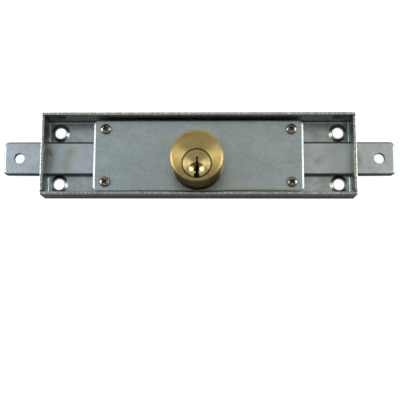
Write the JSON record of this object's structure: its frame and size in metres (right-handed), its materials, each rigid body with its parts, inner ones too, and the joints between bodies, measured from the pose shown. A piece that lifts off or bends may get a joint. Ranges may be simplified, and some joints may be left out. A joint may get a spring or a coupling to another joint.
{
  "type": "roller shutter lock",
  "caption": "Surface-mounted lock for a roller shutter: a folded case with a round key cylinder whose turning plug slides flat bolts out through the end walls.",
  "frame": {"origin": "centre of the case's flat back face, the lock lying on its back", "axes": "+X along the case towards the right bolt, +Y across the case towards the side the pin chambers are on, +Z out of the open side along the lock cylinder"},
  "size_m": [0.2032, 0.0426, 0.0315],
  "materials": {
    "zinc_case": "bright zinc plate on folded steel sheet, satin, faint iridescent tint",
    "zinc_plate": "bright zinc plate on flat steel, satin",
    "zinc_bolt": "bright zinc plate on blanked steel bar, satin",
    "screw_steel": "zinc plate with a yellowish tint, bright",
    "fastener_steel": "plain zinc plate",
    "brass_housing": "turned brass, satin",
    "brass_plug": "turned brass, brighter, with a radial sheen",
    "brass_pin": "turned brass",
    "spring_steel": "bright spring wire",
    "pinion_steel": "sintered steel, matt"
  },
  "bodies": {
    "root": {"case_tray": "zinc_case", "cover_plate": "zinc_plate", "cover_post_1": "fastener_steel", "cover_post_2": "fastener_steel", "cover_post_3": "fastener_steel", "cover_post_4": "fastener_steel", "cover_screw_1": "screw_steel", "cover_screw_2": "screw_steel", "cover_screw_3": "screw_steel", "cover_screw_4": "screw_steel", "cylinder_body": "brass_housing", "cylinder_screw_1": "fastener_steel", "cylinder_screw_2": "fastener_steel", "guide_stud_1": "fastener_steel", "guide_stud_2": "fastener_steel", "driver_pin_1": "brass_pin", "driver_pin_2": "brass_pin", "driver_pin_3": "brass_pin", "driver_pin_4": "brass_pin", "driver_pin_5": "brass_pin", "pin_spring_1": "spring_steel", "pin_spring_2": "spring_steel", "pin_spring_3": "spring_steel", "pin_spring_4": "spring_steel", "pin_spring_5": "spring_steel", "chamber_plug_1": "brass_housing", "chamber_plug_2": "brass_housing", "chamber_plug_3": "brass_housing", "chamber_plug_4": "brass_housing", "chamber_plug_5": "brass_housing"},
    "plug": {"plug": "brass_plug", "plug_clip": "spring_steel", "drive_pinion": "pinion_steel", "key_pin_1": "brass_pin", "key_pin_2": "brass_pin", "key_pin_3": "brass_pin", "key_pin_4": "brass_pin", "key_pin_5": "brass_pin"},
    "left_bolt": {"left_bolt": "zinc_bolt"},
    "right_bolt": {"right_bolt": "zinc_bolt"}
  },
  "joints": [
    {"name": "plug_turn", "type": "hinge", "parent": "root", "child": "plug", "pos_m": [-0.00025, -0.0088, 0.02], "axis": [0, 0, 1], "range_deg": [0, 360]},
    {"name": "left_bolt_slide", "type": "slide", "parent": "root", "child": "left_bolt", "axis": [-1, 0, 0], "range_m": [0, 0.01759]},
    {"name": "right_bolt_slide", "type": "slide", "parent": "root", "child": "right_bolt", "axis": [1, 0, 0], "range_m": [0, 0.0176]}
  ],
  "couplings": [
    {"joint": "plug_turn", "follows": "left_bolt_slide", "rad_per_m": 357.14},
    {"joint": "right_bolt_slide", "follows": "left_bolt_slide", "ratio": 1}
  ]
}
